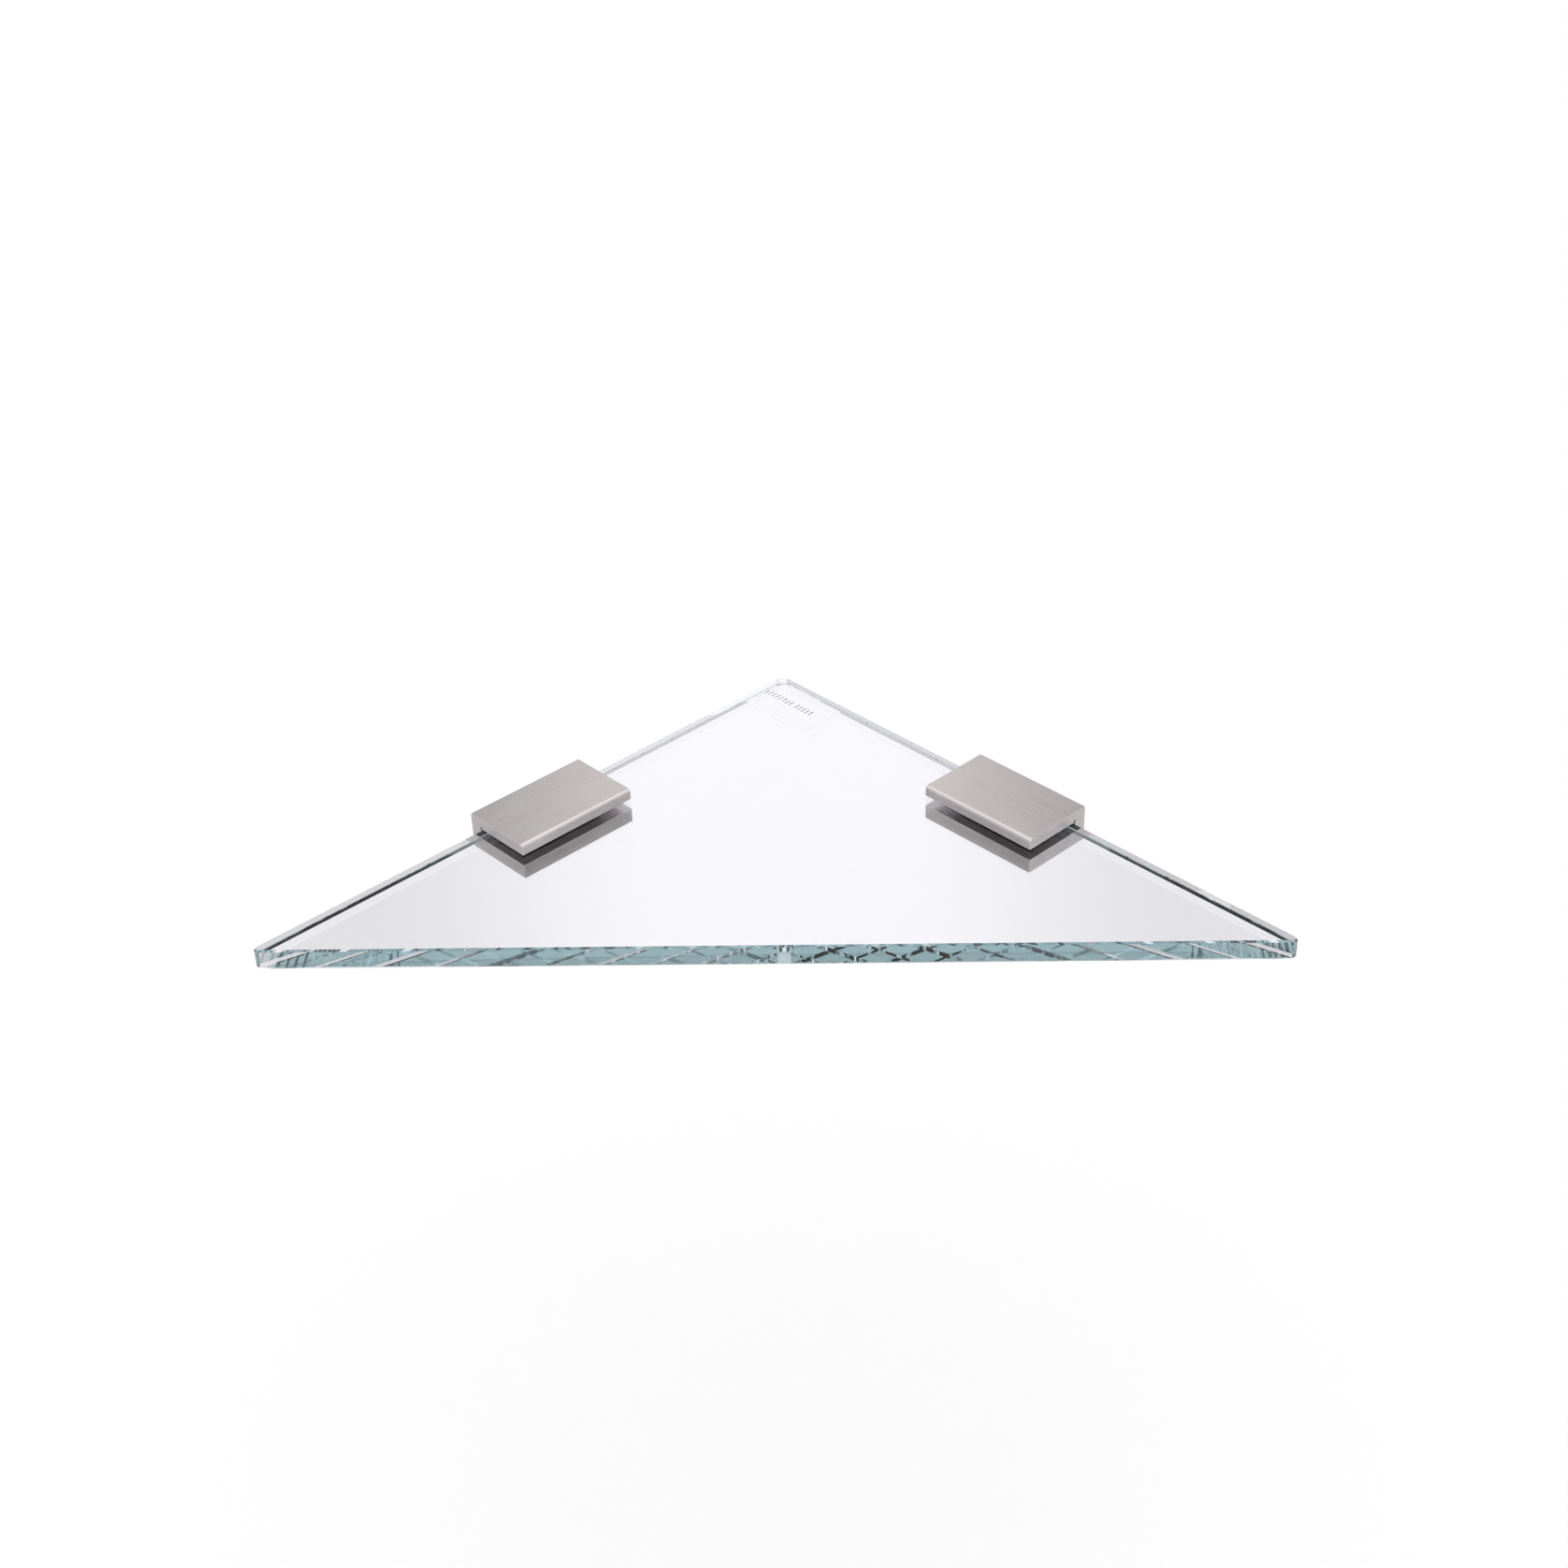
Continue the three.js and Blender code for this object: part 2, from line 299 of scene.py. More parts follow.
def edge_ends(piece, edge):
    return [piece.data.vertices[index].co for index in edge.vertices]


def outward_faces(piece):
    """Merges doubled points and turns every face outwards."""
    bpy.ops.object.mode_set(mode="EDIT")
    bpy.ops.mesh.select_all(action="SELECT")
    bpy.ops.mesh.remove_doubles(threshold=doubled)
    bpy.ops.mesh.normals_make_consistent(inside=False)
    bpy.ops.object.mode_set(mode="OBJECT")


deselect_objects()
bpy.ops.mesh.primitive_circle_add(vertices=3, radius=1, fill_type="NGON")
shelf_glass = bpy.context.object
shelf_glass.name = "shelf_glass"
for point, place in zip(
    sorted(shelf_glass.data.vertices, key=lambda vertex: (-vertex.co.y, vertex.co.x)),
    ((0, corner_y), (-half_front, front_y), (half_front, front_y)),
):
    point.co = (*place, glass_bottom)

edit_select(shelf_glass, "vertices", lambda point: point.co.y > 0)
bpy.ops.mesh.bevel(affect="VERTICES", offset=corner_radius, segments=corner_facets)
bpy.ops.object.mode_set(mode="OBJECT")
edit_select(shelf_glass, "vertices", lambda point: point.co.y < front_y + same_place)
tip_cut = tip_radius / math.tan(sharp_tip_angle / 2)
bpy.ops.mesh.bevel(
    affect="VERTICES", offset=tip_cut, segments=corner_facets, profile=sharp_tip_profile
)
bpy.ops.mesh.select_all(action="SELECT")
bpy.ops.mesh.extrude_region_move(
    TRANSFORM_OT_translate={"value": (0, 0, glass_top - glass_bottom)}
)
bpy.ops.object.mode_set(mode="OBJECT")
outward_faces(shelf_glass)


def arris_width(piece, edge):
    """How wide an edge's chamfer is: none on an upright edge, and wider under the two legs."""
    first, second = edge_ends(piece, edge)
    if abs(first.z - second.z) > same_place:
        return 0
    on_front = first.y < front_y + same_place and second.y < front_y + same_place
    underneath = first.z < glass_bottom + same_place
    return lower_arris if underneath and not on_front else polished_arris


weights = shelf_glass.data.attributes.new("bevel_weight_edge", "FLOAT", "EDGE")
for edge in shelf_glass.data.edges:
    weights.data[edge.index].value = arris_width(shelf_glass, edge) / lower_arris
bpy.ops.object.modifier_add(type="BEVEL")
chamfers = shelf_glass.modifiers[-1]
chamfers.limit_method = "WEIGHT"
chamfers.width = lower_arris
chamfers.segments = 1
bpy.ops.object.modifier_apply(modifier=chamfers.name)
outward_faces(shelf_glass)


def clear_float_glass():
    """Clear glass: sharp refraction, with the faint green of iron where the way through is long."""
    material, nodes, links, shader = start_material("clear_float_glass")
    shader.inputs["Base Color"].default_value = (0.890, 0.877, 0.917, 1)
    shader.inputs["Roughness"].default_value = 0.0
    shader.inputs["IOR"].default_value = 1.52
    shader.inputs["Transmission Weight"].default_value = 1.0
    absorption = nodes.new("ShaderNodeVolumeAbsorption")
    absorption.inputs["Color"].default_value = (0.115, 0.40, 0.425, 1)
    absorption.inputs["Density"].default_value = 3.75
    links.new(absorption.outputs["Volume"], nodes["Material Output"].inputs["Volume"])
    return material


shelf_glass.data.materials.append(clear_float_glass())
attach(shelf_glass, "glass")
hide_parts("glass_shelf")

# ------------------------------------------------------------------------------------------
# The label: a clear film stuck on the glass by the corner, square to the right-hand wall,
# with one row of plain printed bars. It peels off once the shelf is up.
# ------------------------------------------------------------------------------------------

label_length = 32 * MM
label_width = 21 * MM
label_from_left_edge = 5 * MM
label_from_right_edge = 4 * MM
label_corner_radius = 1 * MM
label_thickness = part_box("film_label")[1][2] - glass_top
right_wall_turn = math.radians(-45)


def make_active(piece):
    deselect_objects()
    piece.select_set(True)
    bpy.context.view_layer.objects.active = piece


def put_at_corner(piece):
    """Turns a piece drawn along X so that it lies along the glass's right-hand edge."""
    make_active(piece)
    piece.rotation_euler.z = right_wall_turn
    piece.location = (0, corner_y, 0)
    bpy.ops.object.transform_apply(location=True, rotation=True, scale=True)


def round_and_thicken(slip, radius, facets, thickness):
    """Rounds the corners of a level sheet and draws it up to its thickness."""
    bpy.ops.object.transform_apply(location=True, rotation=True, scale=True)
    bpy.ops.object.mode_set(mode="EDIT")
    bpy.ops.mesh.select_all(action="SELECT")
    bpy.ops.mesh.bevel(affect="VERTICES", offset=radius, segments=facets)
    bpy.ops.mesh.select_all(action="SELECT")
    bpy.ops.mesh.extrude_region_move(TRANSFORM_OT_translate={"value": (0, 0, thickness)})
    bpy.ops.object.mode_set(mode="OBJECT")
    outward_faces(slip)


label_centre_x = label_from_left_edge + label_length / 2
label_centre_y = -label_from_right_edge - label_width / 2
glue_line = 0.01 * MM
label_film = add_level_sheet(
    "label_film", label_centre_x, label_centre_y, glass_top + glue_line, label_length, label_width
)
round_and_thicken(
    label_film, label_corner_radius, facets=6, thickness=label_thickness - glue_line
)
put_at_corner(label_film)


def object_noise(nodes, links, scale, detail):
    """Soft noise that stays in its place on a piece."""
    coordinates = nodes.new("ShaderNodeTexCoord")
    noise = nodes.new("ShaderNodeTexNoise")
    noise.inputs["Scale"].default_value = scale
    noise.inputs["Detail"].default_value = detail
    links.new(coordinates.outputs["Object"], noise.inputs["Vector"])
    return noise.outputs["Fac"]


def add_bump(nodes, links, shader, relief, strength, depth):
    """Lets the light see a fine relief in a surface."""
    bump = nodes.new("ShaderNodeBump")
    bump.inputs["Strength"].default_value = strength
    bump.inputs["Distance"].default_value = depth
    links.new(relief, bump.inputs["Height"])
    links.new(bump.outputs["Normal"], shader.inputs["Normal"])


def clear_label_film():
    """Thin clear plastic, a little duller than the glass, with a faint ripple."""
    material, nodes, links, shader = start_material("clear_label_film")
    shader.inputs["Base Color"].default_value = (0.985, 0.985, 0.985, 1)
    shader.inputs["Roughness"].default_value = 0.06
    shader.inputs["IOR"].default_value = 1.12
    shader.inputs["Transmission Weight"].default_value = 1.0
    ripple = object_noise(nodes, links, scale=180, detail=2)
    add_bump(nodes, links, shader, ripple, strength=0.05, depth=0.05 * MM)
    return material


label_film.data.materials.append(clear_label_film())
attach(label_film, "glass")
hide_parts("film_label")

# The print on the film is one row of short upright bars, in two groups.
bar_height = 3.0 * MM
bar_width = 0.55 * MM
bar_pitch = 1.9 * MM
bar_row_start = 4.6 * MM
bar_row_middle = -13.0 * MM
bar_thickness = 0.02 * MM
bars_in_groups = (8, 5)
gap_between_groups = 1.4 * MM
bars = []
bar_x = bar_row_start
for bars_in_group in bars_in_groups:
    for _ in range(bars_in_group):
        bar = add_level_sheet(
            "label_bar", bar_x + bar_width / 2, bar_row_middle,
            glass_top + label_thickness, bar_width, bar_height,
        )
        round_and_thicken(bar, bar_width / 4, facets=3, thickness=bar_thickness)
        bars.append(bar)
        bar_x += bar_pitch
    bar_x += gap_between_groups
deselect_objects()
for bar in bars:
    bar.select_set(True)
bpy.context.view_layer.objects.active = bars[0]
bpy.ops.object.join()
label_print = bpy.context.object
label_print.name = "label_print"
put_at_corner(label_print)


def spread(nodes, links, value, low, high, at_low, at_high):
    """Takes a value that runs from low to high and spreads it from at_low to at_high."""
    node = nodes.new("ShaderNodeMapRange")
    links.new(value, node.inputs["Value"])
    node.inputs["From Min"].default_value = low
    node.inputs["From Max"].default_value = high
    node.inputs["To Min"].default_value = at_low
    node.inputs["To Max"].default_value = at_high
    return node.outputs["Result"]


def thin_grey_ink():
    """Grey ink, printed so thinly that it is broken into specks."""
    material, nodes, links, shader = start_material("thin_grey_ink")
    shader.inputs["Base Color"].default_value = (0.16, 0.16, 0.17, 1)
    shader.inputs["Roughness"].default_value = 0.6
    specks = object_noise(nodes, links, scale=2600, detail=1)
    links.new(spread(nodes, links, specks, 0.4, 0.6, 0.1, 0.8), shader.inputs["Alpha"])
    return material


label_print.data.materials.append(thin_grey_ink())
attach(label_print, "glass")

# ------------------------------------------------------------------------------------------
# The clamp bodies: two blocks of solid stainless steel, milled with a slot for the glass, a
# pocket for the wall plate and bores for the screws, then brushed lengthwise and broken at
# the edges. Each hangs on its wall plate at the middle of a leg.
# ------------------------------------------------------------------------------------------

clamp_length = 51 * MM
clamp_depth = 30 * MM
clamp_web = 5.2 * MM
upper_jaw = 4.25 * MM
lower_jaw = 5.5 * MM
nose_radius = 1.6 * MM
heel_radius = 0.8 * MM
relief_width = 0.8 * MM
relief_height = 0.9 * MM
broken_edge = 0.22 * MM
fit_clearance = 0.3 * MM
reach_past = 1 * MM
smooth_below = math.radians(50)

clamp_low, clamp_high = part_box("clamp_body_right")
clamp_bottom = clamp_low[2]
clamp_top = clamp_high[2]
lower_jaw_top = clamp_bottom + lower_jaw
slot_top = clamp_top - upper_jaw
half_length = clamp_length / 2

# A clamp is made lengthwise along X with the wall at Y = 0, and then turned to its wall.
half_square = math.sqrt(0.5)
wall_middle = Vector((
    clamp_high[0] - half_length * half_square, clamp_high[1] - half_length * half_square, 0
))
clamp_turns = {"left": math.radians(45), "right": math.radians(-45)}
clamp_places = {"left": Vector((-wall_middle.x, wall_middle.y, 0)), "right": wall_middle}


def add_block(name, low, high):
    """A block between two corners, as a blank to be cut or shaped."""
    deselect_objects()
    middle = [(start + end) / 2 for start, end in zip(low, high)]
    bpy.ops.mesh.primitive_cube_add(size=1, location=middle)
    block = bpy.context.object
    block.name = name
    block.scale = [end - start for start, end in zip(low, high)]
    bpy.ops.object.transform_apply(location=True, rotation=True, scale=True)
    return block


def turned_piece(name, steps, facets=48):
    """A round piece on the Z axis, drawn up step by step as (radius, height) from its lower end."""
    deselect_objects()
    start_radius, start_height = steps[0]
    bpy.ops.mesh.primitive_circle_add(
        vertices=facets, radius=start_radius, fill_type="NGON", location=(0, 0, start_height)
    )
    piece = bpy.context.object
    piece.name = name
    bpy.ops.object.transform_apply(location=True, rotation=True, scale=True)
    bpy.ops.object.mode_set(mode="EDIT")
    bpy.ops.mesh.select_all(action="SELECT")
    for (radius, height), (next_radius, next_height) in zip(steps, steps[1:]):
        bpy.ops.mesh.extrude_region_move(
            TRANSFORM_OT_translate={"value": (0, 0, next_height - height)}
        )
        growth = next_radius / radius
        bpy.ops.transform.resize(
            value=(growth, growth, 1), center_override=(0, 0, next_height)
        )
    bpy.ops.object.mode_set(mode="OBJECT")
    outward_faces(piece)
    return piece


def move_piece(piece, x, y, z):
    make_active(piece)
    piece.location = (x, y, z)
    bpy.ops.object.transform_apply(location=True, rotation=True, scale=True)


def cut_away(piece, cutter):
    """Cuts the cutter's shape out of a piece."""
    make_active(piece)
    cut = piece.modifiers.new("cut", "BOOLEAN")
    cut.operation = "DIFFERENCE"
    cut.solver = "EXACT"
    cut.object = cutter
    bpy.ops.object.modifier_apply(modifier=cut.name)
    bpy.data.objects.remove(cutter)


def soften_edges(piece, width, segments=2, sharper_than=35):
    """Breaks every sharp edge, and shades the flats flat and the rounds round."""
    make_active(piece)
    bevel = piece.modifiers.new("soften", "BEVEL")
    bevel.width = width
    bevel.segments = segments
    bevel.limit_method = "ANGLE"
    bevel.angle_limit = math.radians(sharper_than)
    bevel.use_clamp_overlap = True
    bpy.ops.object.modifier_apply(modifier=bevel.name)
    bpy.ops.object.shade_smooth_by_angle(angle=smooth_below)
    weighted = piece.modifiers.new("flats", "WEIGHTED_NORMAL")
    weighted.keep_sharp = True
    bpy.ops.object.modifier_apply(modifier=weighted.name)


def side_copy(piece, name, side):
    """A copy of a piece made in the clamp's own frame, put in place at its wall."""
    copy = piece.copy()
    copy.data = piece.data.copy()
    bpy.context.scene.collection.objects.link(copy)
    copy.name = name
    make_active(copy)
    copy.rotation_euler.z = clamp_turns[side]
    copy.location = clamp_places[side]
    bpy.ops.object.transform_apply(location=True, rotation=True, scale=True)
    return copy


# The section is drawn as a flat sheet, divided at the slot's faces, and drawn out lengthwise.
deselect_objects()
bpy.ops.mesh.primitive_plane_add(size=1, rotation=(0, math.radians(90), 0))
clamp_blank = bpy.context.object
clamp_blank.name = "clamp_blank"
clamp_blank.location = (-half_length, -clamp_depth / 2, (clamp_bottom + clamp_top) / 2)
clamp_blank.scale = (clamp_top - clamp_bottom, clamp_depth, 1)
bpy.ops.object.transform_apply(location=True, rotation=True, scale=True)
bpy.ops.object.mode_set(mode="EDIT")
relief_top = slot_top + relief_height
relief_front = -clamp_web - relief_width
for cut_height in (lower_jaw_top, slot_top, relief_top):
    bpy.ops.mesh.select_all(action="SELECT")
    bpy.ops.mesh.bisect(plane_co=(0, 0, cut_height), plane_no=(0, 0, 1))
for cut_y in (-clamp_web, relief_front):
    bpy.ops.mesh.select_all(action="SELECT")
    bpy.ops.mesh.bisect(plane_co=(0, cut_y, 0), plane_no=(0, 1, 0))
bpy.ops.object.mode_set(mode="OBJECT")


def in_slot(face):
    centre = face.center
    slot = centre.y < -clamp_web and lower_jaw_top < centre.z < slot_top
    relief = relief_front < centre.y < -clamp_web and slot_top < centre.z < relief_top
    return slot or relief


edit_select(clamp_blank, "polygons", in_slot)
bpy.ops.mesh.delete(type="FACE")
bpy.ops.mesh.select_all(action="SELECT")
bpy.ops.mesh.dissolve_limited(angle_limit=math.radians(1))
bpy.ops.mesh.select_all(action="SELECT")
bpy.ops.mesh.extrude_region_move(TRANSFORM_OT_translate={"value": (clamp_length, 0, 0)})
bpy.ops.object.mode_set(mode="OBJECT")
outward_faces(clamp_blank)


def lengthwise_edge_at(piece, y, z):
    def wanted(edge):
        ends = edge_ends(piece, edge)
        return all(abs(end.y - y) < same_place and abs(end.z - z) < same_place for end in ends)
    return wanted


for edge_y, edge_z, edge_radius, facets in (
    (-clamp_depth, clamp_top, nose_radius, 10),
    (0, clamp_bottom, heel_radius, 6),
):
    edit_select(clamp_blank, "edges", lengthwise_edge_at(clamp_blank, edge_y, edge_z))
    bpy.ops.mesh.bevel(offset=edge_radius, offset_type="OFFSET", segments=facets)
    bpy.ops.object.mode_set(mode="OBJECT")

# The recess for the upper jaw's rubber pad
upper_pad_end_margin = 9 * MM
upper_pad_front_margin = 3.5 * MM
upper_pad_back_margin = 3 * MM
upper_pad_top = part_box("upper_pad_right")[1][2]
upper_pad_half_length = half_length - upper_pad_end_margin
upper_pad_front = -clamp_depth + upper_pad_front_margin
upper_pad_back = -clamp_web - upper_pad_back_margin
cut_away(clamp_blank, add_block(
    "recess_cutter",
    (-upper_pad_half_length - fit_clearance, upper_pad_front - fit_clearance, slot_top - reach_past),
    (upper_pad_half_length + fit_clearance, upper_pad_back + fit_clearance, upper_pad_top),
))

# The pocket in the back, with its sloping roof that hooks over the wall plate
plate_low, plate_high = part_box("wall_plate_right")
plate_bottom = plate_low[2]
plate_top = plate_high[2]
plate_thickness = 2.5 * MM
plate_undercut = 0.9 * MM
plate_end_margin = 4.5 * MM
plate_half_length = half_length - plate_end_margin
plate_middle = (plate_bottom + plate_top - plate_undercut) / 2
plate_slope = plate_undercut / plate_thickness
hook_room = 1.4 * MM
pocket_depth = plate_thickness + fit_clearance
pocket_cutter = add_block(
    "pocket_cutter",
    (-plate_half_length - fit_clearance, -pocket_depth, plate_bottom - hook_room),
    (plate_half_length + fit_clearance, reach_past, plate_top - plate_undercut + fit_clearance),
)
edit_select(pocket_cutter, "vertices", lambda point: point.co.z > plate_middle and point.co.y < 0)
bpy.ops.transform.translate(value=(0, 0, plate_slope * pocket_depth))
bpy.ops.object.mode_set(mode="OBJECT")
edit_select(pocket_cutter, "vertices", lambda point: point.co.z > plate_middle and point.co.y > 0)
bpy.ops.transform.translate(value=(0, 0, -plate_slope * reach_past))
bpy.ops.object.mode_set(mode="OBJECT")
cut_away(clamp_blank, pocket_cutter)

# The stepped bores for the clamp screws and their pads, and the bore for the lock screw
clamp_screw_radius = 2.5 * MM
clamp_screw_spacing = 22 * MM
clamp_screw_y = -(clamp_depth + clamp_web) / 2
press_pad_radius = 4.5 * MM
press_pad_low, press_pad_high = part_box("pressure_pad_right_inner")
press_pad_drop_room = 0.83 * MM
pad_seat_floor = press_pad_low[2] - press_pad_drop_room
lock_screw_radius = 1.5 * MM
lock_screw_y = -2.2 * MM
mouth_chamfer = 0.35 * MM


def bore_mouth(radius):
    """The lower end of a bore's cutter, opened out at the underside to a small chamfer."""
    return [
        (radius + mouth_chamfer, clamp_bottom - reach_past),
        (radius + mouth_chamfer, clamp_bottom),
        (radius, clamp_bottom + mouth_chamfer),
    ]


for screw_x in (-clamp_screw_spacing / 2, clamp_screw_spacing / 2):
    bore_radius = clamp_screw_radius + fit_clearance
    seat_radius = press_pad_radius + fit_clearance
    bore_cutter = turned_piece("bore_cutter", bore_mouth(bore_radius) + [
        (bore_radius, pad_seat_floor),
        (seat_radius, pad_seat_floor),
        (seat_radius, lower_jaw_top - mouth_chamfer),
        (seat_radius + 2 * mouth_chamfer, lower_jaw_top + mouth_chamfer),
    ])
    move_piece(bore_cutter, screw_x, clamp_screw_y, 0)
    cut_away(clamp_blank, bore_cutter)
lock_bore_radius = lock_screw_radius + fit_clearance
lock_cutter = turned_piece("lock_cutter", [
    (lock_bore_radius, clamp_bottom - reach_past),
    (lock_bore_radius, plate_bottom + fit_clearance),
])
move_piece(lock_cutter, 0, lock_screw_y, 0)
cut_away(clamp_blank, lock_cutter)
outward_faces(clamp_blank)
soften_edges(clamp_blank, broken_edge)

# The grain's direction comes from a UV map in metres, whose U runs along the brushing.
bpy.ops.object.mode_set(mode="EDIT")
bpy.ops.mesh.select_all(action="SELECT")
bpy.ops.uv.cube_project(cube_size=2, correct_aspect=False)
bpy.ops.object.mode_set(mode="OBJECT")


def brushed_stainless():
    """Stainless steel with a fine lengthwise brushing, painted shade on its upright faces, and a
    painted highlight, with a little wear, along its edges.
    """
    material, nodes, links, shader = start_material("brushed_stainless")
    shader.inputs["Metallic"].default_value = 1.0
    shader.inputs["Anisotropic"].default_value = 0.55
    coordinates = nodes.new("ShaderNodeTexCoord")

    def streaks(along, across, detail):
        stretch = nodes.new("ShaderNodeMapping")
        stretch.inputs["Scale"].default_value = (along, across, 1)
        links.new(coordinates.outputs["UV"], stretch.inputs["Vector"])
        noise = nodes.new("ShaderNodeTexNoise")
        noise.inputs["Scale"].default_value = 1
        noise.inputs["Detail"].default_value = detail
        links.new(stretch.outputs["Vector"], noise.inputs["Vector"])
        return noise.outputs["Fac"]

    def blend(share, first, second):
        mix = nodes.new("ShaderNodeMix")
        mix.data_type = "RGBA"
        for socket, value in (("Factor", share), ("A", first), ("B", second)):
            target = next(s for s in mix.inputs if s.name == socket and s.enabled)
            if isinstance(value, tuple):
                target.default_value = (*value, 1)
            else:
                links.new(value, target)
        return next(s for s in mix.outputs if s.enabled)

    dark_grain = (0.530, 0.488, 0.487)
    light_grain = (0.620, 0.576, 0.573)
    dull_band = (0.50, 0.462, 0.462)
    warm_cloud = (0.60, 0.60, 0.575)
    # painted shade: the darker grey of the soft bands painted on the upright faces
    painted_shade_grey = (0.30, 0.29, 0.29)
    # painted highlight: the bright shade painted along the broken edges, with a little wear
    edge_highlight_and_wear = (0.88, 0.87, 0.85)

    fine = streaks(70, 7000, 3)
    broad = streaks(18, 1100, 2)
    clouds = object_noise(nodes, links, scale=75, detail=1)
    grain = blend(spread(nodes, links, fine, 0.3, 0.7, 0, 1), dark_grain, light_grain)
    banded = blend(spread(nodes, links, broad, 0.3, 0.7, 0, 0.2), grain, dull_band)
    clouded = blend(spread(nodes, links, clouds, 0.35, 0.65, 0, 0.3), banded, warm_cloud)

    # The upright faces, and not the level ones, get painted shade: wide soft bands of darker colour
    # that stand in for dark reflections on them.
    surface = nodes.new("ShaderNodeNewGeometry")
    facing = nodes.new("ShaderNodeSeparateXYZ")
    links.new(surface.outputs["True Normal"], facing.inputs[0])
    levelness = nodes.new("ShaderNodeMath")
    levelness.operation = "ABSOLUTE"
    links.new(facing.outputs["Z"], levelness.inputs[0])
    upright_share = spread(nodes, links, levelness.outputs[0], 0.7, 0.2, 0, 1)
    painted_shade_share = nodes.new("ShaderNodeMath")
    painted_shade_share.operation = "MULTIPLY"
    links.new(upright_share, painted_shade_share.inputs[0])
    painted_shade_bands = spread(nodes, links, streaks(95, 12, 1), 0.42, 0.62, 0, 0.35)
    links.new(painted_shade_bands, painted_shade_share.inputs[1])
    with_painted_shade = blend(painted_shade_share.outputs[0], clouded, painted_shade_grey)

    # An edge is where the surface turns away from its own rounded copy, and there a painted
    # highlight, with a little wear, makes it brighter.
    rounded = nodes.new("ShaderNodeBevel")
    rounded.samples = 6
    rounded.inputs["Radius"].default_value = 0.3 * MM
    closeness = nodes.new("ShaderNodeVectorMath")
    closeness.operation = "DOT_PRODUCT"
    links.new(rounded.outputs["Normal"], closeness.inputs[0])
    links.new(surface.outputs["Normal"], closeness.inputs[1])
    edge_highlight_share = spread(nodes, links, closeness.outputs["Value"], 0.99, 0.85, 0, 0.75)
    links.new(blend(edge_highlight_share, with_painted_shade, edge_highlight_and_wear), shader.inputs["Base Color"])

    links.new(spread(nodes, links, fine, 0.25, 0.75, 0.24, 0.34), shader.inputs["Roughness"])
    add_bump(nodes, links, shader, fine, strength=0.12, depth=0.03 * MM)
    grain_direction = nodes.new("ShaderNodeTangent")
    grain_direction.direction_type = "UV_MAP"
    links.new(grain_direction.outputs["Tangent"], shader.inputs["Tangent"])
    return material


clamp_blank.data.materials.append(brushed_stainless())
for side in clamp_turns:
    steel_block = side_copy(clamp_blank, f"clamp_block_{side}", side)
    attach(steel_block, "clamps")
    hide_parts(f"clamp_body_{side}")
bpy.data.objects.remove(clamp_blank)

# ------------------------------------------------------------------------------------------
# The upper pads: strips of black rubber, ribbed underneath and pressed into the recess in each
# upper jaw. They keep the steel off the glass, and their ribs end a hair above it, so that
# the glass doesn't look wet where it is gripped.
# ------------------------------------------------------------------------------------------

hair_of_air = 0.04 * MM
rib_height = 0.25 * MM
ribs_and_grooves = 15
strip_edge = 0.08 * MM

upper_strip = add_block(
    "upper_strip",
    (-upper_pad_half_length, upper_pad_front, glass_top + rib_height),
    (upper_pad_half_length, upper_pad_back, upper_pad_top),
)
rib_width = (upper_pad_back - upper_pad_front) / ribs_and_grooves
bpy.ops.object.mode_set(mode="EDIT")
for rib in range(1, ribs_and_grooves):
    bpy.ops.mesh.select_all(action="SELECT")
    bpy.ops.mesh.bisect(
        plane_co=(0, upper_pad_front + rib * rib_width, 0), plane_no=(0, 1, 0)
    )
bpy.ops.object.mode_set(mode="OBJECT")


def under_a_rib(face):
    count = int((face.center.y - upper_pad_front) / rib_width)
    return face.normal.z < -0.9 and count % 2 == 0


edit_select(upper_strip, "polygons", under_a_rib)
bpy.ops.mesh.extrude_region_move(
    TRANSFORM_OT_translate={"value": (0, 0, hair_of_air - rib_height)}
)
bpy.ops.object.mode_set(mode="OBJECT")
outward_faces(upper_strip)
soften_edges(upper_strip, strip_edge)


def shades_between(nodes, links, value, low, dark, high, light):
    """Runs from a dark shade to a light one as a value rises from low to high."""
    shade = nodes.new("ShaderNodeValToRGB")
    dark_end, light_end = shade.color_ramp.elements
    dark_end.position = low
    dark_end.color = (*dark, 1)
    light_end.position = high
    light_end.color = (*light, 1)
    links.new(value, shade.inputs["Fac"])
    return shade.outputs["Color"]


def black_rubber():
    """Moulded black rubber: dull, finely pitted, with a little bloom."""
    material, nodes, links, shader = start_material("black_rubber")
    shader.inputs["Specular IOR Level"].default_value = 0.35
    clean = (0.010, 0.010, 0.010)
    bloomed = (0.030, 0.030, 0.029)
    bloom = object_noise(nodes, links, scale=160, detail=4)
    colour = shades_between(nodes, links, bloom, 0.35, clean, 0.75, bloomed)
    links.new(colour, shader.inputs["Base Color"])
    links.new(spread(nodes, links, bloom, 0, 1, 0.6, 0.85), shader.inputs["Roughness"])
    pits = object_noise(nodes, links, scale=5200, detail=2)
    add_bump(nodes, links, shader, pits, strength=0.3, depth=0.04 * MM)
    return material


rubber = black_rubber()
upper_strip.data.materials.append(rubber)
for side in clamp_turns:
    strip = side_copy(upper_strip, f"jaw_strip_{side}", side)
    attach(strip, "clamps")
    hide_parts(f"upper_pad_{side}")
bpy.data.objects.remove(upper_strip)

# ------------------------------------------------------------------------------------------
# The wall plates: bars of zinc-plated steel with a sloping top edge and two countersunk
# holes. Each is screwed to its wall, and the clamp is hooked over it.
# ------------------------------------------------------------------------------------------

plate_hole_radius = 1.9 * MM
plate_sink_radius = 3.3 * MM
plate_hole_spacing = 28 * MM
plate_edge = 0.15 * MM
sink_overcut = 0.05 * MM

